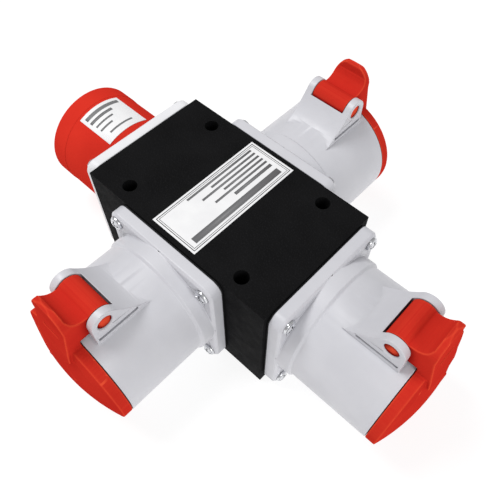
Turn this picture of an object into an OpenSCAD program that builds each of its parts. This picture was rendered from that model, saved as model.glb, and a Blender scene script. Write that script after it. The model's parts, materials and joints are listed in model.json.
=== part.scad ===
// Portable power distribution box for three-phase supplies. A moulded box carries one flanged
// inlet with pins and three flanged sockets with sprung lids. Insulated wires run from every
// outlet to a stack of terminal discs on a post in the middle of the box.
//
// Frame: the origin is the centre of the box's underside, +X points to the end socket, -X to
// the inlet, +Y to the left socket, -Y to the right socket and +Z is up.
// Outlet pieces are drawn in a frame of their own, where +X points out of the box along the
// outlet's axis, +Y lies across it and +Z is up. on_face() carries them to their places.

/* [Box] */
// Length of the box, from the inlet's face to the end socket's face
box_length = 140; // [139:0.5:150]
// Width of the box, between the faces of the side sockets
box_width = 87.5; // [87:0.5:94]
// Height of the box
box_height = 87.5; // [87:0.5:94]
// Thickness of the box's walls
wall = 3.5; // [3.2:0.1:4]
// Height of the outlets' axes above the underside
axis_height = 45; // [44.5:0.25:46]
// Radius of the deep screw wells in the top
well_radius = 4.4; // [4:0.1:4.8]

/* [Flanges] */
// Side of the square flanges
flange_side = 83; // [82:0.5:84]
// Distance from the box to the front of a flange, gasket included
flange_thickness = 9.3; // [8.5:0.1:10]
// Corner radius of the flanges
flange_corner = 7; // [6:0.5:8]
// Chamfer round the front of the flanges
flange_chamfer = 1.5; // [1:0.1:2]
// Distance between neighbouring flange screws
screw_spacing = 70; // [69:0.5:71]

/* [Sockets] */
// Outer radius of the sockets' barrels
barrel_radius = 39.2; // [39:0.1:39.4]
// Inner radius of the sockets' barrels
barrel_bore = 36; // [35.6:0.1:36.4]
// Distance from the box to a socket's mouth
socket_depth = 69.5; // [68:0.5:71]
// Radius of the insulating insert in a socket
insert_radius = 31; // [30.6:0.1:31.1]

/* [Lids] */
// Distance from a socket's mouth back to the lid's hinge axis
hinge_setback = 13.5; // [13:0.25:14]
// Height of the hinge axis above the barrel's outer surface
hinge_rise = 9.3; // [9.1:0.1:10]
// Half the width over the two hinge ears
ear_half_width = 17.2; // [17:0.1:18]
// Height of a lid's dome beyond its rim
dome_rise = 7; // [7:0.5:9]
// Width of the finger tab and of the band below it
tab_width = 24; // [20:0.5:24]

/* [Inlet] */
// Outer radius of the inlet's shroud
shroud_radius = 34.6; // [34.4:0.1:34.8]
// Thickness of the shroud's wall
shroud_wall = 3.1; // [3:0.1:3.3]
// Distance from the box to the shroud's mouth
shroud_depth = 65.5; // [64:0.5:67]

/* [Contacts] */
// Radius of the circle on which the five contacts lie
pin_circle = 21; // [20.5:0.1:21.2]
// Radius of the phase and neutral pins
phase_pin = 3; // [2.8:0.1:3.1]
// Radius of the earth pin
earth_pin = 4; // [3.8:0.1:4.1]
// Outer radius of the insulated wires
wire_radius = 2; // [1.8:0.1:2.1]

/* [Hidden] */
$fn = 96;

socket_sides = ["end", "left", "right"];
all_sides = concat(socket_sides, ["inlet"]);
box_pieces = ["housing_shell", "base_plate", "base_gasket", "housing_screws", "threaded_inserts",
    "rating_label", "terminal_post", "post_screws", "pole_discs", "disc_spacers", "post_nut"];
wire_pieces = ["earth_wires", "brown_wires", "black_wires", "grey_wires", "blue_wires"];
inlet_pieces = ["inlet_flange", "inlet_gasket", "inlet_screws", "inlet_shroud", "inlet_label",
    "inlet_pin_carrier", "inlet_phase_pins", "inlet_earth_pin", "inlet_terminal_screws"];
socket_pieces = ["socket_body", "socket_gasket", "socket_screws", "contact_carrier",
    "phase_contacts", "earth_contact", "terminal_screws", "lid", "lid_seal", "hinge_pin",
    "lid_spring"];

// Clearances: for a turning fit, a sliding fit and loose pieces, and a sliver that keeps cuts clean
running = 0.05;
slip = 0.1;
loose = 0.2;
sliver = 0.5;

// Box
rim_wall = 2;
plate_thickness = 4;
gasket_thickness = 1.5;
gasket_band = 3.1;
ledge_height = plate_thickness + gasket_thickness;
well_inset = [25, 10.15];
well_wall = 2.1;
well_floor = 16;
housing_screw = 2;
housing_head = [3.6, 3.2];
insert_outer = 2.9;
insert_seat = 0.5;
insert_boss = 4;
screw_tip = 1;
cutout_radius = 33.6;
boss_radius = 4.2;
boss_length = 10;
label_size = [33.8, 81.6, 0.2];

// Flanges, which sit on a gasket, and their screws
seat = 1.2;
flange_screw = 2;
flange_head = [4.3, 2.5];
screw_reach = 8;
drive_slot = [1.2, 6, 0.9];

// Socket bodies
ring_radius = barrel_radius + 1.6;
ring_end = flange_thickness + 7.5;
base_wall_end = 6;
collar_radius = 33;
collar_thickness = 2;
carrier_gap = insert_radius + loose;
keyway = [10, 1.7];

// Hinge
hinge_out = socket_depth - hinge_setback;
hinge_up = barrel_radius + hinge_rise;
ear_radius = 8;
ear_thickness = 4.6;
saddle_radius = 66;
saddle_angle = 143.5;
slot_half_width = ear_half_width - ear_thickness;
knuckle_radius = 7.5;
knuckle_clearance = 0.9;
hinge_pin_radius = 4.2;
pin_recess = 1;
ear_chamfer = 0.8;
knuckle_top = hinge_up + knuckle_radius;

// Lids
lid_gap = 0.3;
lid_back = socket_depth + lid_gap;
rim_height = 6;
lid_shoulder = lid_back + rim_height;
lid_skin = 2.5;
dome_radius = (barrel_radius * barrel_radius + dome_rise * dome_rise) / (2 * dome_rise);
dome_top = lid_shoulder + dome_rise;
seal_outer = barrel_radius - 1.2;
seal_inner = 34;
seal_thickness = 2.5;
seal_collar = 1.5;
tab_back = hinge_out + 15;
tab_front = tab_back + 3.5;
tab_top = hinge_up + 19.5;
tab_edge = 1.5;
spring_coil = 5.4;
spring_wire = 0.5;
spring_turns = 6;
spring_half_width = 3.9;
pocket_radius = 6.3;
pocket_half_width = 5;

// Inlet
shroud_bore = shroud_radius - shroud_wall;
lip_radius = shroud_radius + 2.3;
lip_thickness = 2.2;

// Contacts
pole_count = 5;
earth = 0;
phases = [1 : pole_count - 1];
insert_front = socket_depth - 6.5;
insert_plate = 5;
pin_hole_gap = 0.3;
sleeve_wall = 2.1;
tube_wall = 1.6;
contact_front = insert_front - insert_plate - sliver;
terminal_depth = 17;
terminal_hole = [2.4, 9];
terminal_screw = [1.6, 2.8, 1.8];
pin_carrier_back = seat - collar_thickness;
pin_step = 0.5;
pin_tip = shroud_depth - 13.5;
earth_lead = 6;

// Terminal post
disc_radius = 15;
disc_thickness = 7;
disc_pitch = 10.5;
first_disc = axis_height - pin_circle;
level_of_pole = [0, 1, 3, 4, 2];
port_depth = 4;
post_radius = 4;
foot_radius = 14;
foot_top = plate_thickness + 2.5;
spacer_radius = 9;
post_screw = 1.4;
post_head = [2.5, 1.6];
post_screw_circle = 11.5;
stack_top = first_disc + (pole_count - 1) * disc_pitch + disc_thickness / 2;
nut_height = 5;
post_top = stack_top + nut_height + 3;
wire_sides = 8;
wire_steps = 9;

function face_angle(side) = side == "end" ? 0 : side == "left" ? 90 : side == "inlet" ? 180 : -90;
function face_distance(side) = (side == "end" || side == "inlet" ? box_length : box_width) / 2;

// Angle of a pole round an outlet's axis. The inlet's pins mirror the sockets' contacts.
function pole_angle(side, pole) = -90 + (side == "inlet" ? 1 : -1) * pole * 360 / pole_count;
function pin_radius(pole) = pole == earth ? earth_pin : phase_pin;
function tube_radius(pole) = pin_radius(pole) + tube_wall;
function disc_height(pole) = first_disc + disc_pitch * level_of_pole[pole];

// A point of an outlet's own frame, carried to the box's frame
function placed(side, point) =
    let (turn = face_angle(side), out = face_distance(side) + point.x)
    [out * cos(turn) - point.y * sin(turn), out * sin(turn) + point.y * cos(turn),
     point.z + axis_height];

function bezier(a, b, c, d, t) =
    pow(1 - t, 3) * a + 3 * t * pow(1 - t, 2) * b + 3 * t * t * (1 - t) * c + pow(t, 3) * d;

// A wire runs from inside its terminal, round a smooth bend, into a port of its pole's disc
function wire_route(side, pole) =
    let (
        around = pole_angle(side, pole),
        across = pin_circle * cos(around),
        above = pin_circle * sin(around),
        start = placed(side, [terminal_hole[1] - terminal_depth - 2 * sliver, across, above]),
        mouth = placed(side, [-terminal_depth, across, above]),
        inward = -[cos(face_angle(side)), sin(face_angle(side)), 0],
        heading = atan2(mouth.y, mouth.x),
        outward = [cos(heading), sin(heading), 0],
        level = [0, 0, disc_height(pole)],
        port = level + disc_radius * outward,
        reach = norm(port - mouth) * 0.4
    )
    concat([start],
        [for (step = [0 : wire_steps])
            bezier(mouth, mouth + reach * inward, port + reach * outward, port, step / wire_steps)],
        [level + (disc_radius - port_depth + sliver) * outward]);

function unit(v) = v / norm(v);
function heading_at(path, i) = unit(path[min(i + 1, len(path) - 1)] - path[max(i - 1, 0)]);

// A round tube along a path. The reference direction never lies along the path.
module sweep(path, radius, sides, reference) {
    rings = [for (i = [0 : len(path) - 1])
        let (side = unit(cross(heading_at(path, i), reference)),
             up = cross(side, heading_at(path, i)))
        for (k = [0 : sides - 1])
            path[i] + radius * (cos(360 * k / sides) * side + sin(360 * k / sides) * up)];
    last = (len(path) - 1) * sides;
    walls = [for (i = [0 : len(path) - 2], k = [0 : sides - 1])
        let (next = (k + 1) % sides)
        [i * sides + next, i * sides + k, (i + 1) * sides + k, (i + 1) * sides + next]];
    start_cap = [for (k = [0 : sides - 1]) k];
    end_cap = [for (k = [sides - 1 : -1 : 0]) last + k];
    polyhedron(points = rings, faces = concat(walls, [start_cap, end_cap]), convexity = 4);
}

module on_face(side) {
    rotate([0, 0, face_angle(side)])
        translate([face_distance(side), 0, axis_height])
            children();
}

// A cylinder along +X between two distances from the box's face
module rod(radius, from, to) {
    translate([from, 0, 0])
        rotate([0, 90, 0])
            cylinder(r = radius, h = to - from);
}

module cone(radius_from, radius_to, from, to) {
    translate([from, 0, 0])
        rotate([0, 90, 0])
            cylinder(r1 = radius_from, r2 = radius_to, h = to - from);
}

module tube(outer, inner, from, to) {
    difference() {
        rod(outer, from, to);
        rod(inner, from - sliver, to + sliver);
    }
}

// A bar across the outlet, along Y, centred on its hinge axis
module hinge_rod(radius, half_width) {
    translate([hinge_out, 0, hinge_up])
        rotate([90, 0, 0])
            cylinder(r = radius, h = 2 * half_width, center = true);
}

// A side view, drawn with x outwards and y upwards, given a width across the outlet
module side_profile(width) {
    rotate([90, 0, 0])
        linear_extrude(width, center = true)
            children();
}

module centred_box(size, bottom) {
    translate([-size.x / 2, -size.y / 2, bottom])
        cube(size);
}

module at_pole(side, pole) {
    rotate([pole_angle(side, pole), 0, 0])
        translate([0, pin_circle, 0])
            children();
}

module at_flange_screws() {
    for (across = [-1, 1], above = [-1, 1])
        translate([0, across * screw_spacing / 2, above * screw_spacing / 2])
            children();
}

module at_wells() {
    for (end = [-1, 1], flank = [-1, 1])
        translate([end * (box_length / 2 - well_inset.x), flank * (box_width / 2 - well_inset.y), 0])
            children();
}

module well_bore(radius, bottom, top) {
    translate([0, 0, bottom])
        cylinder(r = radius, h = top - bottom);
}

// Box ---------------------------------------------------------------------------------------

module housing_shell() {
    ceiling = box_height - wall;
    color("#1b1b1c")
    difference() {
        union() {
            difference() {
                centred_box([box_length, box_width, box_height], 0);
                centred_box([box_length - 2 * wall, box_width - 2 * wall, ceiling - ledge_height],
                    ledge_height);
                centred_box([box_length - 2 * rim_wall, box_width - 2 * rim_wall,
                    ledge_height + sliver], -sliver);
            }
            at_wells()
                well_bore(well_radius + well_wall, ledge_height, ceiling + sliver);
            for (side = all_sides)
                on_face(side)
                    at_flange_screws()
                        rod(boss_radius, -boss_length, -wall / 2);
        }
        at_wells() {
            well_bore(well_radius, well_floor, box_height + 1);
            well_bore(housing_screw + loose, 0, well_floor + sliver);
        }
        for (side = all_sides)
            on_face(side) {
                rod(cutout_radius, -wall - sliver, sliver);
                at_flange_screws()
                    rod(flange_screw + running, -screw_reach - sliver, sliver);
            }
    }
}

module base_plate() {
    color("#202022")
    difference() {
        union() {
            centred_box([box_length - 2 * rim_wall - 2 * loose, box_width - 2 * rim_wall - 2 * loose,
                plate_thickness], 0);
            at_wells()
                well_bore(insert_boss, plate_thickness - sliver, ledge_height);
        }
        at_wells()
            well_bore(insert_outer, insert_seat, ledge_height + sliver);
        at_post_screws()
            well_bore(post_screw + running, screw_tip, plate_thickness + sliver);
    }
}

module base_gasket() {
    outer = [box_length - 2 * rim_wall - 4 * loose, box_width - 2 * rim_wall - 4 * loose];
    color("#0c0c0c")
    difference() {
        centred_box([outer.x, outer.y, gasket_thickness], plate_thickness);
        centred_box([outer.x - 2 * gasket_band, outer.y - 2 * gasket_band, gasket_thickness + 1],
            plate_thickness - sliver);
    }
}

module housing_screws() {
    color("silver")
    at_wells()
        difference() {
            union() {
                well_bore(housing_screw, screw_tip, well_floor + sliver);
                well_bore(housing_head[0], well_floor, well_floor + housing_head[1]);
            }
            translate([0, 0, well_floor + housing_head[1]])
                for (turn = [0, 90])
                    rotate([0, 0, turn])
                        cube([1.2 * housing_head[0], drive_slot.z, 2 * drive_slot.x], center = true);
        }
}

module threaded_inserts() {
    color("goldenrod")
    at_wells()
        washer(insert_outer, housing_screw + running, insert_seat, ledge_height);
}

module rating_label() {
    color("white")
    centred_box(label_size, box_height);
}

// Terminal post -----------------------------------------------------------------------------

module at_post_screws() {
    for (turn = [0 : 120 : 240])
        rotate([0, 0, turn])
            translate([post_screw_circle, 0, 0])
                children();
}

module washer(outer, inner, bottom, top) {
    difference() {
        well_bore(outer, bottom, top);
        well_bore(inner, bottom - sliver, top + sliver);
    }
}

module terminal_post() {
    color("dimgray")
    difference() {
        union() {
            well_bore(foot_radius, plate_thickness, foot_top);
            well_bore(post_radius, plate_thickness, post_top);
        }
        at_post_screws()
            well_bore(post_screw + running, plate_thickness - sliver, foot_top + sliver);
    }
}

module post_screws() {
    color("silver")
    at_post_screws() {
        well_bore(post_screw, screw_tip, foot_top + sliver);
        well_bore(post_head[0], foot_top, foot_top + post_head[1]);
    }
}

// One brass disc for each pole, with a port bored in its rim for the wire of every outlet
module pole_disc(pole) {
    height = disc_height(pole);
    difference() {
        washer(disc_radius, post_radius + slip, height - disc_thickness / 2, height + disc_thickness / 2);
        for (side = all_sides) {
            route = wire_route(side, pole);
            mouth = route[1];
            translate([0, 0, height])
                rotate([0, 0, atan2(mouth.y, mouth.x)])
                    rod(wire_radius + loose, disc_radius - port_depth, disc_radius + 1);
        }
    }
}

module pole_discs() {
    color("goldenrod")
    for (pole = [0 : pole_count - 1])
        pole_disc(pole);
}

module disc_spacers() {
    color("gainsboro") {
        washer(spacer_radius, post_radius + slip, foot_top, first_disc - disc_thickness / 2);
        for (level = [1 : pole_count - 1])
            washer(spacer_radius, post_radius + slip,
                first_disc + (level - 1) * disc_pitch + disc_thickness / 2,
                first_disc + level * disc_pitch - disc_thickness / 2);
    }
}

module post_nut() {
    color("gainsboro")
    difference() {
        translate([0, 0, stack_top])
            cylinder(r = spacer_radius, h = nut_height, $fn = 6);
        well_bore(post_radius + running, stack_top - sliver, post_top);
    }
}

module pole_wires(pole, shade) {
    color(shade)
    for (side = all_sides)
        sweep(wire_route(side, pole), wire_radius, wire_sides, [0, 0, 1]);
}

// Flange, gasket and screws shared by the inlet and the sockets ------------------------------

// A square plate with round corners and a chamfered front, from its gasket outwards
module flange_plate() {
    half = flange_side / 2;
    straight = half - flange_corner;
    shoulder = flange_thickness - flange_chamfer;
    outline = [[seat, -half], [shoulder, -half], [flange_thickness, flange_chamfer - half],
        [flange_thickness, half - flange_chamfer], [shoulder, half], [seat, half]];
    side_profile(2 * straight)
        polygon(outline);
    rotate([90, 0, 0])
        side_profile(2 * straight)
            polygon(outline);
    for (across = [-1, 1], above = [-1, 1])
        translate([0, across * straight, above * straight]) {
            rod(flange_corner, seat, shoulder);
            cone(flange_corner, flange_corner - flange_chamfer, shoulder, flange_thickness);
        }
}

module bored_flange(bore) {
    difference() {
        flange_plate();
        rod(bore, -sliver, flange_thickness + sliver);
        at_flange_screws()
            rod(flange_screw + loose, -sliver, flange_thickness + sliver);
    }
}

// A sheet of rubber with round corners, a little smaller than the flange that it seals
module flange_gasket() {
    half = flange_side / 2 - sliver;
    straight = half - flange_corner;
    color("#101010")
    difference() {
        union() {
            for (reach = [[half, straight], [straight, half]])
                translate([0, -reach.x, -reach.y])
                    cube([seat, 2 * reach.x, 2 * reach.y]);
            for (across = [-1, 1], above = [-1, 1])
                translate([0, across * straight, above * straight])
                    rod(flange_corner, 0, seat);
        }
        rod(collar_radius + 2 * loose, -sliver, seat + sliver);
        at_flange_screws()
            rod(flange_screw + loose, -sliver, seat + sliver);
    }
}

module flange_screws() {
    radius = flange_head[0];
    top = flange_thickness + flange_head[1];
    brim = flange_thickness + flange_head[1] / 3;
    crown = flange_thickness + flange_head[1] * 2 / 3;
    color("silver")
    at_flange_screws()
        difference() {
            union() {
                rod(flange_screw, -screw_reach, flange_thickness + sliver);
                rod(radius, flange_thickness, brim);
                cone(radius, radius * 0.88, brim, crown);
                cone(radius * 0.88, radius * 0.58, crown, top);
            }
            for (turn = [0, 90])
                translate([top, 0, 0])
                    rotate([turn, 0, 0])
                        cube([2 * drive_slot.x, drive_slot.y, drive_slot.z], center = true);
        }
}

// Contacts ----------------------------------------------------------------------------------

// The screw that clamps the wire, pointing away from the outlet's axis
module clamp_screw_hole(side, pole) {
    at_pole(side, pole)
        translate([terminal_hole[1] / 2 - terminal_depth, 0, 0])
            rotate([-90, 0, 0])
                cylinder(r = terminal_screw[0] + running, h = 3 * pin_radius(pole));
}

module terminal_bore(side, pole) {
    at_pole(side, pole)
        rod(terminal_hole[0], -terminal_depth - sliver, terminal_hole[1] - terminal_depth);
    clamp_screw_hole(side, pole);
}

module contact(pole) {
    tube_root = 8;
    slit_length = 25;
    slit = 0.8;
    difference() {
        at_pole("end", pole)
            difference() {
                rod(tube_radius(pole), -terminal_depth, contact_front);
                rod(pin_radius(pole) + slip, tube_root, contact_front + sliver);
                for (turn = [0, 90])
                    rotate([turn, 0, 0])
                        translate([contact_front - slit_length, -tube_radius(pole) - sliver, -slit / 2])
                            cube([slit_length + sliver, 2 * tube_radius(pole) + 2 * sliver, slit]);
            }
        terminal_bore("end", pole);
    }
}

module phase_contacts() {
    color("gold")
    for (pole = phases)
        contact(pole);
}

module earth_contact() {
    color("gold")
    contact(earth);
}

module terminal_screws(side) {
    color("silver")
    for (pole = [0 : pole_count - 1])
        at_pole(side, pole)
            translate([terminal_hole[1] / 2 - terminal_depth, 0, 0])
                rotate([-90, 0, 0])
                    difference() {
                        seat = tube_radius(pole);
                        union() {
                            well_bore(terminal_screw[0], wire_radius + loose, seat + loose);
                            well_bore(terminal_screw[1], seat, seat + terminal_screw[2]);
                        }
                        translate([0, 0, seat + terminal_screw[2]])
                            cube([3 * terminal_screw[1], 0.7, terminal_screw[2]], center = true);
                    }
}

// Sockets -----------------------------------------------------------------------------------

// Side view of the hinge ears and of the saddle that carries them down to the barrel
module ear_outline() {
    root = 24;
    low = barrel_bore - 3;
    crest = [hinge_out + ear_radius * cos(saddle_angle), hinge_up + ear_radius * sin(saddle_angle)];
    spread = saddle_radius + ear_radius;
    translate([hinge_out, hinge_up])
        circle(r = ear_radius);
    difference() {
        polygon([[root, low], [hinge_out + ear_radius, low], [hinge_out + ear_radius, hinge_up],
            [hinge_out, hinge_up], crest, [root, crest.y]]);
        translate([hinge_out + spread * cos(saddle_angle), hinge_up + spread * sin(saddle_angle)])
            circle(r = saddle_radius, $fn = 256);
    }
}

// The space between the ears in which the lid's knuckle turns
module knuckle_slot() {
    clear = knuckle_radius + knuckle_clearance;
    hinge_rod(clear, slot_half_width);
    side_profile(2 * slot_half_width)
        polygon([[hinge_out - clear, hinge_up], [hinge_out - clear, hinge_up + 2 * clear],
            [socket_depth, hinge_up + 2 * clear], [socket_depth, barrel_radius + 1],
            [hinge_out, barrel_radius + 1], [hinge_out, hinge_up]]);
}

// A slot along the foot of each ear's flank
module flank_grooves() {
    groove = [25, 3.2, 2.2];
    for (turn = [0, 1])
        mirror([0, turn, 0])
            translate([hinge_out - 18.5, ear_half_width - groove.y, barrel_bore + 1.4])
                cube([groove.x, groove.y + sliver, groove.z]);
}

module ear_bores() {
    hinge_rod(hinge_pin_radius + running, ear_half_width + sliver);
    for (flank = [-1, 1])
        translate([hinge_out, flank * (ear_half_width + 0.01), hinge_up])
            rotate([flank * 90, 0, 0])
                cylinder(r1 = hinge_pin_radius + ear_chamfer, r2 = hinge_pin_radius, h = ear_chamfer);
}

module socket_body() {
    chamfer_run = 1.4;
    color("#d9d9de")
    difference() {
        union() {
            bored_flange(collar_radius);
            rod(ring_radius, seat, ring_end);
            cone(ring_radius, barrel_radius, ring_end, ring_end + chamfer_run);
            rod(barrel_radius, ring_end, socket_depth);
            side_profile(2 * ear_half_width)
                ear_outline();
        }
        rod(barrel_bore, base_wall_end, socket_depth + sliver);
        rod(carrier_gap, seat - sliver, base_wall_end + sliver);
        rod(collar_radius + loose, seat - sliver, seat + collar_thickness);
        translate([base_wall_end, -keyway[0] / 2, -barrel_bore - keyway[1]])
            cube([socket_depth, keyway[0], barrel_bore / 2]);
        knuckle_slot();
        ear_bores();
        flank_grooves();
    }
}

// The insert that holds the five contacts. Its collar lies behind the base wall of the socket.
module contact_carrier() {
    cover = insert_front - insert_plate;
    color("#c9c9cc")
    difference() {
        union() {
            rod(insert_radius, seat, insert_front);
            rod(collar_radius, seat, seat + collar_thickness);
        }
        for (pole = [0 : pole_count - 1])
            at_pole("end", pole) {
                rod(tube_radius(pole) + slip, seat - sliver, cover);
                rod(pin_radius(pole) + pin_hole_gap, cover - sliver, insert_front + sliver);
            }
    }
}

module hinge_pin() {
    color("#d32a25")
    hinge_rod(hinge_pin_radius, ear_half_width - pin_recess);
}

// Lids --------------------------------------------------------------------------------------

// Side view of the arm, the trough behind the finger tab, the tab and the band down the dome
module band_outline() {
    trough = 9;
    foot = barrel_radius + 1.6;
    arm = [[hinge_out, foot], [hinge_out, knuckle_top], [tab_back, knuckle_top + 5]];
    tab = [[tab_back, tab_top - tab_edge], [tab_back + tab_edge, tab_top],
        [tab_front - tab_edge, tab_top], [tab_front, tab_top - tab_edge], [tab_front + 0.6, hinge_up + 5]];
    band = [[dome_top - 4, 36], [dome_top - 2, 24], [dome_top - 0.5, 10], [lid_shoulder, 0]];
    rim = [[lid_shoulder - 2, barrel_radius - 3], [lid_back, barrel_radius - 2], [lid_back, foot]];
    difference() {
        polygon(concat(arm, tab, band, rim));
        translate([tab_back - trough, knuckle_top + trough - 1.8])
            circle(r = trough);
        translate([hinge_out + 4, knuckle_top - 0.6])
            square([tab_back - hinge_out - 4 - trough / 2, trough]);
    }
}

// Front view of the finger tab: straight flanks and a round end
module tab_mask() {
    length = dome_top + sliver - hinge_out;
    round_centre = tab_top - tab_width / 2;
    translate([0, 0, round_centre])
        rod(tab_width / 2, hinge_out, hinge_out + length);
    translate([hinge_out, -tab_width / 2, -1])
        cube([length, tab_width, round_centre + 1]);
}

// Underside cut-out that lets the spring's leg reach the barrel while the lid turns
module spring_window() {
    reach = pocket_radius + 3;
    first = -160;
    last = -14;
    translate([hinge_out, 0, hinge_up])
        side_profile(2 * pocket_half_width)
            polygon(concat([[0, 0]],
                [for (turn = [first : (last - first) / 9 : last]) reach * [cos(turn), sin(turn)]]));
}

module dome(radius, back, skin) {
    intersection() {
        rod(radius, back, dome_top);
        translate([dome_top - dome_radius, 0, 0])
            sphere(r = dome_radius - skin, $fn = 256);
    }
}

module lid() {
    knuckle_half = slot_half_width - lid_gap;
    color("#d8302a")
    difference() {
        union() {
            dome(barrel_radius, lid_back, 0);
            hinge_rod(knuckle_radius, knuckle_half);
            intersection() {
                side_profile(tab_width)
                    band_outline();
                tab_mask();
            }
        }
        tube(seal_outer, seal_inner - loose, lid_back - sliver, lid_back + seal_thickness);
        difference() {
            dome(seal_inner + 1, lid_back - sliver, lid_skin);
            tube(seal_inner - loose, seal_inner - loose - seal_collar, lid_back, lid_shoulder + 2);
        }
        hinge_rod(hinge_pin_radius + running, knuckle_half + sliver);
        hinge_rod(pocket_radius, pocket_half_width);
        spring_window();
    }
}

module lid_seal() {
    color("#1a1a1a")
    tube(seal_outer, seal_inner, lid_back, lid_back + seal_thickness);
}

// A torsion spring: a coil round the hinge pin and a straight leg down to the barrel
module lid_spring() {
    segments = 14;
    steps = spring_turns * segments;
    centre = [hinge_out, 0, hinge_up];
    leg_end = centre + [spring_coil, spring_half_width, -5.6];
    coil = [for (i = [0 : steps])
        centre + [spring_coil * cos(360 * i / segments),
            spring_half_width * (1 - 2 * i / steps), spring_coil * sin(360 * i / segments)]];
    color("silver")
    sweep(concat([leg_end], coil), spring_wire, 6, [0, 1, 0]);
}

// Inlet -------------------------------------------------------------------------------------

module inlet_flange() {
    color("#ececef")
    difference() {
        bored_flange(shroud_radius + loose);
        rod(lip_radius + loose, -sliver, seat + lip_thickness + loose);
    }
}

module inlet_shroud() {
    band_length = 12.5;
    band_rise = 0.35;
    key = [9, 2.6];
    color("#e23d2b")
    difference() {
        union() {
            rod(shroud_radius, seat, shroud_depth);
            rod(lip_radius, seat, seat + lip_thickness);
            rod(shroud_radius + band_rise, shroud_depth - band_length, shroud_depth);
            translate([flange_thickness + loose, -key[0] / 2, -shroud_radius - key[1]])
                cube([shroud_depth - flange_thickness - loose, key[0], key[1] + shroud_wall / 2]);
        }
        rod(shroud_bore, seat - sliver, shroud_depth + sliver);
    }
}

module inlet_label() {
    from = flange_thickness + 10.2;
    length = 31.3;
    spread = 53;
    thickness = 0.2;
    color("white")
    translate([from, 0, 0])
        rotate([0, 90, 0])
            rotate([0, 0, 180 - spread / 2])
                rotate_extrude(angle = spread)
                    translate([shroud_radius, 0])
                        square([thickness, length]);
}

module inlet_pin_carrier() {
    color("#3a3a3d")
    difference() {
        union() {
            rod(shroud_bore - loose, pin_carrier_back, base_wall_end);
            rod(collar_radius, pin_carrier_back, seat);
        }
        for (pole = [0 : pole_count - 1])
            at_pole("inlet", pole)
                rod(pin_radius(pole) + pin_step + running, pin_carrier_back - sliver,
                    base_wall_end + sliver);
    }
}

module inlet_pin(pole) {
    tip = pin_tip + (pole == earth ? earth_lead : 0);
    radius = pin_radius(pole);
    difference() {
        at_pole("inlet", pole) {
            rod(radius + pin_step, pin_carrier_back - 1, base_wall_end);
            rod(radius, base_wall_end - 1, tip - radius);
            translate([tip - radius, 0, 0])
                sphere(r = radius);
            rod(tube_radius(pole), -terminal_depth, pin_carrier_back - loose);
        }
        terminal_bore("inlet", pole);
    }
}

module inlet_phase_pins() {
    color("#c9b27a")
    for (pole = phases)
        inlet_pin(pole);
}

module inlet_earth_pin() {
    color("#c9b27a")
    inlet_pin(earth);
}

housing_shell();
base_plate();
base_gasket();
housing_screws();
threaded_inserts();
rating_label();
terminal_post();
post_screws();
pole_discs();
disc_spacers();
post_nut();
pole_wires(0, "yellowgreen");  // earth_wires
pole_wires(1, "saddlebrown");  // brown_wires
pole_wires(2, "#151515");  // black_wires
pole_wires(3, "gray");  // grey_wires
pole_wires(4, "royalblue");  // blue_wires
on_face("inlet") inlet_flange();
on_face("inlet") flange_gasket();  // inlet_gasket
on_face("inlet") flange_screws();  // inlet_screws
on_face("inlet") inlet_shroud();
on_face("inlet") inlet_label();
on_face("inlet") inlet_pin_carrier();
on_face("inlet") inlet_phase_pins();
on_face("inlet") inlet_earth_pin();
on_face("inlet") terminal_screws("inlet");  // inlet_terminal_screws
for (side = socket_sides) {
    on_face(side) socket_body();
    on_face(side) flange_gasket();
    on_face(side) flange_screws();
    on_face(side) contact_carrier();
    on_face(side) phase_contacts();
    on_face(side) earth_contact();
    on_face(side) terminal_screws(side);
    on_face(side) lid();
    on_face(side) lid_seal();
    on_face(side) hinge_pin();
    on_face(side) lid_spring();
}
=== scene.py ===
"""A portable power distribution box: a black box with a red inlet and three sockets with red lids.

Lengths are in metres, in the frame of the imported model. Outlet pieces are built in a frame of
their own, where +X points out of the box along the outlet's axis, +Y lies across it and +Z is up.
"""

import json
import math

import bmesh
import bpy
from mathutils import Matrix, Vector


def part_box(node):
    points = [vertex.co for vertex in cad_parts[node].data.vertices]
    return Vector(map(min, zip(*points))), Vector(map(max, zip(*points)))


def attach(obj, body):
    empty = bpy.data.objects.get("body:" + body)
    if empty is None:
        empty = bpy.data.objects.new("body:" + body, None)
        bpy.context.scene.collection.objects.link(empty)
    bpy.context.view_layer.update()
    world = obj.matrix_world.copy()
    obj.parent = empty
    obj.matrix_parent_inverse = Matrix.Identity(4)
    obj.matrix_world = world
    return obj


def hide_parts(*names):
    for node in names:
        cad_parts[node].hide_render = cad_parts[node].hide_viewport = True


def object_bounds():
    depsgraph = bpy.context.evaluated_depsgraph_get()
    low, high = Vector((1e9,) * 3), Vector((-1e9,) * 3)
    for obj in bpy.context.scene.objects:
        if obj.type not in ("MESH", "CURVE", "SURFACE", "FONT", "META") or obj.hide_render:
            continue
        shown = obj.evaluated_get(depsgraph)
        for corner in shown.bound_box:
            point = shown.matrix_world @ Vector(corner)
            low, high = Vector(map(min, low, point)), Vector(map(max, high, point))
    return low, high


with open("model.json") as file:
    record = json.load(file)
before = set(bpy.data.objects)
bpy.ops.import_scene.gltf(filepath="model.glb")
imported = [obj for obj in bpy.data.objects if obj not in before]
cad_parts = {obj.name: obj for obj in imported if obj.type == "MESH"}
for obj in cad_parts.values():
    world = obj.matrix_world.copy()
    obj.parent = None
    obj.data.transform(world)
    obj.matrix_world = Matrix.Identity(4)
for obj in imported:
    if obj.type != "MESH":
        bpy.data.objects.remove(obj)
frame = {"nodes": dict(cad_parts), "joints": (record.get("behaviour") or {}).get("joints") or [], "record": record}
cad_low, cad_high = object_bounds()
nodes = frame["nodes"]
joints = {joint["name"]: joint for joint in frame["joints"]}

MM = 0.001
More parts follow.
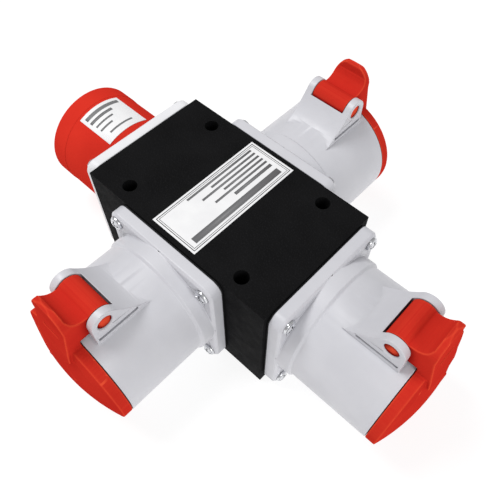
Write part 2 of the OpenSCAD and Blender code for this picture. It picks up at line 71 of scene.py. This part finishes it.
# Depth of the lid's straight rim, from its seal to the shoulder where the dome starts
RIM_HEIGHT = 6 * MM
FACE_ANGLE = {"end": 0, "left": 90, "right": -90, "inlet": 180}
SOCKETS = ("end", "left", "right")


# Places taken from the frame ---------------------------------------------------------------

def face_frame(side):
    """The matrix that carries an outlet's own frame to its place on the box."""
    turn = Matrix.Rotation(math.radians(FACE_ANGLE[side]), 4, "Z")
    gasket = "inlet_gasket" if side == "inlet" else f"{side}_socket_gasket"
    low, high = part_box(gasket)
    corners = [turn.inverted() @ low, turn.inverted() @ high]
    back = min(corner.x for corner in corners)
    height = (low.z + high.z) / 2
    return turn @ Matrix.Translation((back, 0, height))


FACE = {side: face_frame(side) for side in FACE_ANGLE}


def own_box(node, side):
    """Lowest and highest corner of a CAD node in its outlet's own frame."""
    inverse = FACE[side].inverted()
    corners = [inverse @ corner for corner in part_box(node)]
    low = Vector(map(min, *corners))
    high = Vector(map(max, *corners))
    return low, high


_, lid_high = own_box("end_lid", "end")
seal_low, _ = own_box("end_lid_seal", "end")
tag_low, tag_high = own_box("inlet_label", "inlet")
hinge = FACE["end"].inverted() @ Vector(joints["end_lid_hinge"]["pos_m"])
lid_radius = lid_high.y
lid_back = seal_low.x
lid_shoulder = lid_back + RIM_HEIGHT
lid_front = lid_high.x
dome_rise = lid_front - lid_shoulder
dome_radius = (lid_radius ** 2 + dome_rise ** 2) / (2 * dome_rise)


# Materials ---------------------------------------------------------------------------------

class Finish:
    """A Principled material that grows from small steps: tint, roughness and relief."""

    def __init__(self, name, colour, roughness, **sockets):
        self.material = bpy.data.materials.new(name)
        self.material.use_nodes = True
        self.tree = self.material.node_tree
        self.shader = self.tree.nodes["Principled BSDF"]
        self.shader.inputs["Base Color"].default_value = (*colour, 1)
        self.shader.inputs["Roughness"].default_value = roughness
        for socket, value in sockets.items():
            self.shader.inputs[socket.replace("_", " ")].default_value = value
        self.place = self.node("ShaderNodeTexCoord").outputs["Object"]
        self.relief = None

    def node(self, kind, **settings):
        made = self.tree.nodes.new(kind)
        for key, value in settings.items():
            setattr(made, key, value)
        return made

    def join(self, output, socket):
        self.tree.links.new(output, socket)

    def stretched(self, stretch):
        """Object coordinates, scaled along each axis."""
        mapping = self.node("ShaderNodeMapping")
        mapping.inputs["Scale"].default_value = stretch
        self.join(self.place, mapping.inputs["Vector"])
        return mapping.outputs["Vector"]

    def noise(self, size, detail=3.0, stretch=(1, 1, 1)):
        """Noise whose features are about this long, in metres."""
        noise = self.node("ShaderNodeTexNoise")
        noise.inputs["Scale"].default_value = 1 / size
        noise.inputs["Detail"].default_value = detail
        self.join(self.stretched(stretch), noise.inputs["Vector"])
        return noise.outputs["Fac"]

    def ramp(self, value, low, high, stops=(0.35, 0.65)):
        """A value mapped from its two stops to a low and a high number."""
        mapped = self.node("ShaderNodeMapRange")
        mapped.inputs["From Min"].default_value = stops[0]
        mapped.inputs["From Max"].default_value = stops[1]
        mapped.inputs["To Min"].default_value = low
        mapped.inputs["To Max"].default_value = high
        self.join(value, mapped.inputs["Value"])
        return mapped.outputs["Result"]

    def tint(self, value, other, stops=(0.35, 0.65)):
        """Mixes another colour into the surface where the value is high."""
        mix = self.node("ShaderNodeMix", data_type="RGBA")
        base = self.shader.inputs["Base Color"]
        self.join(self.ramp(value, 0, 1, stops), mix.inputs["Factor"])
        if base.is_linked:
            self.join(base.links[0].from_socket, mix.inputs["A"])
        else:
            mix.inputs["A"].default_value = base.default_value
        mix.inputs["B"].default_value = (*other, 1)
        self.join(mix.outputs["Result"], base)
        return self

    def polish(self, value, low, high):
        """Varies the roughness between two numbers."""
        self.join(self.ramp(value, low, high), self.shader.inputs["Roughness"])
        return self

    def bump(self, value, depth, strength=1.0):
        """Adds relief of a depth in metres on top of what is there."""
        bump = self.node("ShaderNodeBump")
        bump.inputs["Strength"].default_value = strength
        bump.inputs["Distance"].default_value = depth
        self.join(value, bump.inputs["Height"])
        if self.relief is not None:
            self.join(self.relief, bump.inputs["Normal"])
        self.relief = bump.outputs["Normal"]
        self.join(self.relief, self.shader.inputs["Normal"])
        return self

    def painted_crease_shade(self, reach, shade, stops=(0.80, 0.35)):
        """Painted shade: darkens narrow places that are hidden from all round within a reach in metres."""
        hidden = self.node("ShaderNodeAmbientOcclusion", samples=8)
        hidden.inputs["Distance"].default_value = reach
        return self.tint(hidden.outputs["AO"], shade, stops)

    def edges(self, painted_highlight, stops=(0.505, 0.56)):
        """Painted highlight: lightens outer edges, where the surface is most pointed."""
        shape = self.node("ShaderNodeNewGeometry")
        return self.tint(shape.outputs["Pointiness"], painted_highlight, stops)

    def grain(self, size, depth):
        """Fine pebbled grain, as a spark-eroded mould leaves it."""
        cells = self.node("ShaderNodeTexVoronoi", feature="SMOOTH_F1")
        cells.inputs["Scale"].default_value = 1 / size
        self.join(self.place, cells.inputs["Vector"])
        return self.bump(cells.outputs["Distance"], depth)


def moulded(name, colour, shade, roughness, grain_size, grain_depth, **sockets):
    """Moulded plastic: faint mottling, a slightly uneven gloss and a fine grain."""
    finish = Finish(name, colour, roughness, **sockets)
    finish.tint(finish.noise(22 * MM, 4), shade)
    finish.polish(finish.noise(6 * MM, 5), roughness - 0.05, roughness + 0.07)
    finish.grain(grain_size, grain_depth)
    return finish


def black_plastic():
    finish = moulded("black_plastic", (0.0080, 0.0080, 0.0084), (0.0060, 0.0060, 0.0063), 0.62,
                     0.55 * MM, 0.07 * MM, Specular_IOR_Level=0.02)
    finish.tint(finish.noise(0.7 * MM, 2), (0.014, 0.014, 0.015), (0.52, 0.72))
    finish.bump(finish.noise(1.1 * MM, 3), 0.05 * MM)
    return finish.material


def grey_plastic():
    finish = moulded("grey_plastic", (0.62, 0.62, 0.655), (0.585, 0.585, 0.622), 0.40,
                     0.35 * MM, 0.006 * MM)
    finish.bump(finish.noise(14 * MM, 2), 0.05 * MM)
    # Painted shade in the corners and creases of the socket bodies.
    finish.painted_crease_shade(3 * MM, (0.36, 0.36, 0.39), (0.85, 0.35))
    return finish.material


def pale_plastic():
    return moulded("pale_plastic", (0.80, 0.80, 0.82), (0.76, 0.76, 0.78), 0.42,
                   0.35 * MM, 0.006 * MM).material


def red_plastic():
    finish = moulded("red_plastic", (0.60, 0.030, 0.018), (0.56, 0.025, 0.016), 0.46,
                     0.35 * MM, 0.006 * MM, Specular_IOR_Level=0.0)
    finish.bump(finish.noise(12 * MM, 2), 0.06 * MM)
    # Painted highlight along the lids' outer edges.
    finish.edges((0.80, 0.080, 0.035))
    # Painted shade in the lids' creases and hollows.
    finish.painted_crease_shade(7 * MM, (0.27, 0.006, 0.006), (0.90, 0.35))
    return finish.material


def orange_red_plastic():
    finish = moulded("orange_red_plastic", (0.66, 0.034, 0.020), (0.62, 0.030, 0.018), 0.48,
                     0.35 * MM, 0.006 * MM, Specular_IOR_Level=0.0)
    finish.bump(finish.noise(15 * MM, 2), 0.05 * MM)
    # Painted shade in the shroud's creases.
    finish.painted_crease_shade(3 * MM, (0.35, 0.010, 0.008))
    return finish.material


def insert_plastic(name, colour):
    shade = [0.9 * level for level in colour]
    return moulded(name, colour, shade, 0.55, 0.5 * MM, 0.02 * MM).material


def rubber():
    finish = moulded("black_rubber", (0.013, 0.013, 0.014), (0.022, 0.022, 0.023), 0.78,
                     0.4 * MM, 0.03 * MM, Specular_IOR_Level=0.3)
    return finish.material


def metal(name, colour, shade, roughness, brush):
    """Metal with fine turning or drawing marks and a faint tarnish."""
    finish = Finish(name, colour, roughness, Metallic=1.0)
    finish.tint(finish.noise(2.5 * MM, 4), shade)
    # Painted shade in narrow recesses, such as the gap round a screw head.
    finish.painted_crease_shade(1.2 * MM, (0.03, 0.03, 0.03), (0.75, 0.40))
    marks = finish.noise(0.5 * MM, 3, brush)
    finish.polish(marks, roughness - 0.06, roughness + 0.12)
    finish.bump(marks, 0.01 * MM)
    return finish.material


def film():
    """White printed film: satin, with the faint dimples of its adhesive."""
    finish = Finish("label_film", (0.86, 0.86, 0.865), 0.34)
    finish.tint(finish.noise(9 * MM, 3), (0.82, 0.82, 0.83))
    finish.polish(finish.noise(4 * MM, 3), 0.30, 0.42)
    finish.bump(finish.noise(3 * MM, 2), 0.012 * MM)
    return finish.material


def ink(name, colour):
    """Printing ink: even, with the speckle of a thermal print."""
    finish = Finish(name, colour, 0.5)
    finish.tint(finish.noise(0.25 * MM, 2), [level + 0.05 for level in colour], (0.55, 0.8))
    finish.bump(finish.noise(0.4 * MM, 2), 0.004 * MM)
    return finish.material


def insulation(name, colour):
    finish = Finish(name, colour, 0.45)
    finish.tint(finish.noise(5 * MM, 3), [0.8 * level for level in colour])
    finish.polish(finish.noise(2 * MM, 3), 0.38, 0.55)
    finish.bump(finish.noise(0.8 * MM, 2), 0.01 * MM)
    return finish


def striped_insulation():
    """Green insulation with diagonal yellow bands."""
    finish = insulation("striped_insulation", (0.06, 0.26, 0.035))
    wave = finish.node("ShaderNodeTexWave", bands_direction="DIAGONAL")
    wave.inputs["Scale"].default_value = 90
    finish.join(finish.place, wave.inputs["Vector"])
    return finish.tint(wave.outputs["Fac"], (0.75, 0.62, 0.03), (0.45, 0.55)).material


ink_black = ink("black_ink", (0.012, 0.012, 0.013))
ink_grey = ink("grey_ink", (0.16, 0.16, 0.165))
finish_of_slot = {
    "housing": black_plastic(),
    "socket_grey": grey_plastic(),
    "inlet_flange": pale_plastic(),
    "lid_red": red_plastic(),
    "shroud_red": orange_red_plastic(),
    "contact_carrier": insert_plastic("carrier_plastic", (0.42, 0.42, 0.44)),
    "pin_carrier": insert_plastic("pin_carrier_plastic", (0.035, 0.035, 0.038)),
    "post_plastic": insert_plastic("post_plastic", (0.10, 0.10, 0.105)),
    "spacer_plastic": insert_plastic("spacer_plastic", (0.60, 0.60, 0.58)),
    "gasket_rubber": rubber(),
    "zinc_screws": metal("zinc", (0.78, 0.79, 0.81), (0.62, 0.63, 0.66), 0.22, (1, 1, 1)),
    "spring_steel": metal("spring_wire", (0.55, 0.56, 0.58), (0.40, 0.41, 0.43), 0.30, (1, 1, 1)),
    "brass": metal("brass", (0.72, 0.53, 0.22), (0.58, 0.40, 0.15), 0.28, (8, 1, 1)),
    "pin_metal": metal("plated_brass", (0.74, 0.66, 0.50), (0.60, 0.52, 0.38), 0.24, (8, 1, 1)),
    "label_film": film(),
    "wire_green_yellow": striped_insulation(),
    "wire_brown": insulation("brown_insulation", (0.13, 0.05, 0.02)).material,
    "wire_black": insulation("black_insulation", (0.012, 0.012, 0.012)).material,
    "wire_grey": insulation("grey_insulation", (0.20, 0.20, 0.21)).material,
    "wire_blue": insulation("blue_insulation", (0.02, 0.08, 0.40)).material,
}
slot_of_node = {part["node"]: part["material_slot"] for part in frame["record"]["subparts"]}


# Finishing the CAD nodes -------------------------------------------------------------------

# Edge radii in millimetres by the end of a node's name. What is not listed keeps its sharp edges.
EDGE_RADIUS = {
    "housing_shell": 0.35,
    "base_plate": 0.4,
    "socket_body": 0.45,
    "inlet_flange": 0.5,
    "inlet_shroud": 0.3,
    "_screws": 0.18,
    "contact_carrier": 0.4,
    "pin_carrier": 0.3,
    "_contacts": 0.12,
    "_contact": 0.12,
    "_discs": 0.4,
    "_spacers": 0.3,
    "post_nut": 0.3,
    "terminal_post": 0.4,
}


WELD_REACH = 0.002 * MM
SHARP_ANGLE = math.radians(40)


def round_edges(piece, radius):
    """Rounds what meets at more than the sharp angle, and shades the rest smoothly."""
    weld = piece.modifiers.new("weld", "WELD")
    weld.merge_threshold = WELD_REACH
    if radius:
        bevel = piece.modifiers.new("edges", "BEVEL")
        bevel.width = radius * MM
        bevel.segments = 2
        bevel.limit_method = "ANGLE"
        bevel.angle_limit = SHARP_ANGLE
        bevel.use_clamp_overlap = True
        bevel.harden_normals = False
    normals = piece.modifiers.new("normals", "WEIGHTED_NORMAL")
    normals.keep_sharp = True


def edge_radius(name):
    """The radius whose ending fits the node's name best, or none."""
    endings = [ending for ending in EDGE_RADIUS if name.endswith(ending)]
    return EDGE_RADIUS[max(endings, key=len)] if endings else 0


for name, node in nodes.items():
    node.data.materials.clear()
    node.data.materials.append(finish_of_slot[slot_of_node[name]])
    node.data.shade_smooth()
    round_edges(node, edge_radius(name))


# Mesh helpers ------------------------------------------------------------------------------

def mesh_from(name, bm):
    """A mesh with its normals turned outward. The bmesh is used up."""
    mesh = bpy.data.meshes.new(name)
    bmesh.ops.recalc_face_normals(bm, faces=bm.faces)
    bm.to_mesh(mesh)
    bm.free()
    return mesh


def new_piece(name, mesh, finish, body):
    """A shown piece that rides on a body, with one material."""
    mesh.materials.clear()
    mesh.materials.append(finish)
    mesh.shade_smooth()
    piece = bpy.data.objects.new(name, mesh)
    bpy.context.scene.collection.objects.link(piece)
    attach(piece, body)
    return piece


def block(bm, low, high, matrix=Matrix.Identity(4)):
    """A closed box between two corners, carried by a matrix."""
    low, high = Vector(low), Vector(high)
    size = Matrix.Diagonal((*(high - low), 1))
    place = matrix @ Matrix.Translation((low + high) / 2) @ size
    bmesh.ops.create_cube(bm, size=1, matrix=place)


def evaluated_mesh(target):
    """The mesh of an object with its modifiers applied."""
    depsgraph = bpy.context.evaluated_depsgraph_get()
    return bpy.data.meshes.new_from_object(target.evaluated_get(depsgraph))


def scratch(name, bm):
    """A helper object made from a bmesh, which discard() removes again."""
    helper = bpy.data.objects.new(name, mesh_from(name, bm))
    bpy.context.scene.collection.objects.link(helper)
    return helper


def discard(*helpers):
    for helper in helpers:
        bpy.data.objects.remove(helper)


def cut(target, tool):
    """Cuts a tool from a target with the exact solver."""
    step = target.modifiers.new("cut", "BOOLEAN")
    step.operation = "DIFFERENCE"
    step.solver = "EXACT"
    step.use_self = True
    step.object = tool


# Lids --------------------------------------------------------------------------------------

# A scoop lies on each flank of the dome, at an angle round the axis and a distance from it
SCOOP_ANGLE = math.radians(40)
SCOOP_REACH = 31 * MM
SCOOP_DEPTH = 1.2 * MM
SCOOP_SPAN = 15 * MM
# The floor of the step beside a scoop rises by this along the scoop, and leans across by an angle
STEP_RISE = 1.7 * MM
STEP_WIDTH = 14 * MM
STEP_LENGTH = 2.35 * SCOOP_SPAN
STEP_LEAN = math.radians(-4)
# How far the cutting boxes reach outward, clear of the dome
CLEAR_OF_DOME = 8 * MM
# Grip slots: how far each one's top lies below the hinge, and half its length
GRIP_SLOTS = ((4.5 * MM, 7 * MM), (1.0 * MM, 6 * MM))
SLOT_HEIGHT = 1.0 * MM
# How far the slots reach back from the lid's foremost point
SLOT_REACH = 7.6 * MM
# The lid is rebuilt in voxels of this size, smoothed, and thinned to this share of its faces
VOXEL = 0.42 * MM
KEPT_FACES = 0.30


def scoop_cutter():
    """Two boxes for each flank: one cuts a lens from the dome, one a step between it and the rim."""
    bm = bmesh.new()
    tilt = math.asin(SCOOP_REACH / dome_radius)
    for flank in (1, -1):
        place = (
            Matrix.Scale(flank, 4, (0, 1, 0))
            @ Matrix.Translation((lid_front - dome_radius, 0, 0))
            @ Matrix.Rotation(SCOOP_ANGLE, 4, "X")
            @ Matrix.Rotation(tilt, 4, "Z")
            @ Matrix.Translation((dome_radius - SCOOP_DEPTH, 0, 0))
        )
        block(bm, (0, -SCOOP_REACH / 2, -SCOOP_SPAN), (CLEAR_OF_DOME, 0, SCOOP_SPAN), place)
        slope = math.atan(STEP_RISE / (2 * SCOOP_SPAN))
        lower = (
            place
            @ Matrix.Translation((0, 0, -SCOOP_SPAN))
            @ Matrix.Rotation(slope, 4, "Y")
            @ Matrix.Rotation(STEP_LEAN, 4, "Z")
            @ Matrix.Translation((STEP_RISE, 0, 0))
        )
        block(bm, (-STEP_RISE, 0, 0), (CLEAR_OF_DOME, STEP_WIDTH, STEP_LENGTH), lower)
    return bm


def grip_slots():
    """Two short slots across the front, near the foot of the finger tab."""
    bm = bmesh.new()
    for below, half in GRIP_SLOTS:
        top = hinge.z - below
        block(bm, (lid_front - SLOT_REACH, -half, top - SLOT_HEIGHT), (lid_front, half, top))
    return bm


def lid_mesh(side):
    """The CAD lid with scoops and slots, its edges softened as moulded plastic."""
    base = bmesh.new()
    base.from_mesh(nodes[f"{side}_lid"].data)
    bmesh.ops.remove_doubles(base, verts=base.verts, dist=WELD_REACH)
    base.transform(FACE[side].inverted())
    lid = scratch("lid_work", base)
    cutter = scratch("scoop_work", scoop_cutter())
    slots = scratch("slot_work", grip_slots())
    for tool in (cutter, slots):
        cut(lid, tool)
    grow = lid.modifiers.new("voxels", "REMESH")
    grow.mode = "VOXEL"
    grow.voxel_size = VOXEL
    soften = lid.modifiers.new("soften", "SMOOTH")
    soften.factor = 0.5
    soften.iterations = 3
    thin = lid.modifiers.new("thin", "DECIMATE")
    thin.ratio = KEPT_FACES
    mesh = evaluated_mesh(lid)
    mesh.transform(FACE[side])
    discard(lid, cutter, slots)
    return mesh


for side in SOCKETS:
    lid = new_piece(f"{side}_lid_moulding", lid_mesh(side), finish_of_slot["lid_red"],
                    f"{side}_lid")
    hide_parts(f"{side}_lid")


# Labels ------------------------------------------------------------------------------------

# Thickness of the printing
PRINT = 0.03 * MM
# Lines round the top label: distance from its edge, and width
BORDER_LINES = ((1.3 * MM, 0.45 * MM), (2.5 * MM, 0.3 * MM))


def bars_of(layout, bottom, half_across, half_along):
    """Boxes for printed bars. Each layout row is (centre, half height, from, to) as shares."""
    bm = bmesh.new()
    for centre, half, start, stop in layout:
        block(bm, ((centre - half) * half_across, start * half_along, bottom),
              ((centre + half) * half_across, stop * half_along, bottom + PRINT))
    return bm


def border(bm, half_across, half_along, line, bottom):
    """A rectangular line drawn with four bars."""
    for end in (-1, 1):
        along = sorted((end * half_along, end * (half_along - line)))
        across = sorted((end * half_across, end * (half_across - line)))
        block(bm, (-half_across, along[0], bottom), (half_across, along[1], bottom + PRINT))
        block(bm, (across[0], -half_along, bottom), (across[1], half_along, bottom + PRINT))


# Printed bars on the top label: centre and half height across it, start and stop along it
TOP_BARS = [
    (0.62, 0.13, -0.86, 0.86),
    (0.24, 0.065, 0.10, 0.86),
    (0.02, 0.045, -0.20, 0.86),
    (-0.17, 0.045, 0.05, 0.86),
    (-0.36, 0.045, -0.30, 0.86),
    (-0.55, 0.045, -0.05, 0.86),
    (-0.74, 0.045, -0.45, 0.86),
]
# The same for the inlet's curved label: first along the shroud's axis, then round it
TAG_BARS = [
    (0.72, 0.10, -0.85, 0.85),
    (0.40, 0.08, -0.30, 0.85),
    (0.08, 0.05, -0.10, 0.80),
    (-0.22, 0.05, 0.15, 0.80),
    (-0.62, 0.05, -0.55, 0.60),
]


def top_label():
    low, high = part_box("rating_label")
    half = (high - low) / 2
    lines = bmesh.new()
    for inset, width in BORDER_LINES:
        border(lines, half.x - inset, half.y - inset, width, high.z)
    border_mesh = mesh_from("rating_label_border", lines)
    new_piece("rating_label_border", border_mesh, ink_black, "box")
    bars = bars_of(TOP_BARS, high.z, half.x, half.y)
    bars_mesh = mesh_from("rating_label_bars", bars)
    new_piece("rating_label_bars", bars_mesh, ink_grey, "box")


# Edges longer than this are divided, so that the bars can follow the shroud's curve
LONG_EDGE = 3 * MM
BEND_CUTS = 12


def rolled(bm, radius):
    """Rolls a flat sheet in the X-Y plane round the inlet's axis, Y becoming the arc."""
    for vertex in bm.verts:
        turn = vertex.co.y / radius
        reach = radius + vertex.co.z
        vertex.co = Vector((vertex.co.x, reach * math.sin(turn), reach * math.cos(turn)))


def inlet_tag():
    radius = tag_high.z
    half_length = (tag_high.x - tag_low.x) / 2
    half_arc = radius * math.asin(tag_high.y / radius)
    bm = bars_of(TAG_BARS, 0, half_length, half_arc)
    long_edges = [edge for edge in bm.edges if edge.calc_length() > LONG_EDGE]
    bmesh.ops.subdivide_edges(bm, edges=long_edges, cuts=BEND_CUTS, use_grid_fill=True)
    rolled(bm, radius)
    middle = (tag_low.x + tag_high.x) / 2
    bm.transform(FACE["inlet"] @ Matrix.Translation((middle, 0, 0)))
    new_piece("inlet_label_bars", mesh_from("inlet_label_bars", bm), ink_grey, "box")


top_label()
inlet_tag()


# Floor, light and camera -------------------------------------------------------------------

FLOOR_REACH = 4.0
FLOOR_GAP = 0.2 * MM


def floor():
    """A matt grey sheet that gives off white light, so that it looks white with faint shadows."""
    mesh = bpy.data.meshes.new("floor")
    corners = [(x * FLOOR_REACH, y * FLOOR_REACH, 0) for x, y in ((-1, -1), (1, -1), (1, 1), (-1, 1))]
    mesh.from_pydata(corners, [], [(0, 1, 2, 3)])
    plane = bpy.data.objects.new("floor", mesh)
    bpy.context.scene.collection.objects.link(plane)
    finish = Finish("floor_paper", (0.26, 0.26, 0.26), 0.9, Specular_IOR_Level=0.0,
                    Emission_Color=(1, 1, 1, 1), Emission_Strength=0.82)
    finish.tint(finish.noise(0.3, 2), (0.25, 0.25, 0.25))
    mesh.materials.append(finish.material)
    plane.location.z = cad_low.z - FLOOR_GAP


LIGHT_AIM = (0, 0, 0.05)


def panel(name, position, size, power):
    """A soft round light aimed at a point inside the box."""
    light = bpy.data.lights.new(name, "AREA")
    light.shape = "DISK"
    light.size = size
    light.energy = power
    lamp = bpy.data.objects.new(name, light)
    bpy.context.scene.collection.objects.link(lamp)
    lamp.location = position
    lamp.rotation_mode = "QUATERNION"
    lamp.rotation_quaternion = (Vector(LIGHT_AIM) - Vector(position)).to_track_quat("-Z", "Y")


def studio():
    """Even surroundings, a main light high over the inlet's side, a weaker one past the end socket."""
    world = bpy.data.worlds.new("studio")
    bpy.context.scene.world = world
    world.use_nodes = True
    background = world.node_tree.nodes["Background"]
    background.inputs["Color"].default_value = (1, 1, 1, 1)
    background.inputs["Strength"].default_value = 0.42
    panel("key", (-0.55, -0.20, 1.25), 0.6, 10.5)
    panel("fill", (1.2, -0.35, 0.75), 0.7, 6.5)


CAMERA_PLACE = Vector((0.14346, -0.13516, 0.33195))
CAMERA_AIM = Vector((0.01770, -0.00196, 0.045))


def camera():
    """The camera that was fitted to the photograph."""
    view = bpy.data.cameras.new("camera")
    view.sensor_width = 36
    view.lens = 38.9
    view.shift_x = 0.0097
    view.shift_y = 0.0075
    view.clip_start = 0.01
    holder = bpy.data.objects.new("camera", view)
    bpy.context.scene.collection.objects.link(holder)
    holder.location = CAMERA_PLACE
    holder.rotation_mode = "QUATERNION"
    holder.rotation_quaternion = (CAMERA_AIM - CAMERA_PLACE).to_track_quat("-Z", "Y")
    bpy.context.scene.camera = holder


floor()
studio()
camera()
bpy.context.scene.view_settings.view_transform = "Standard"
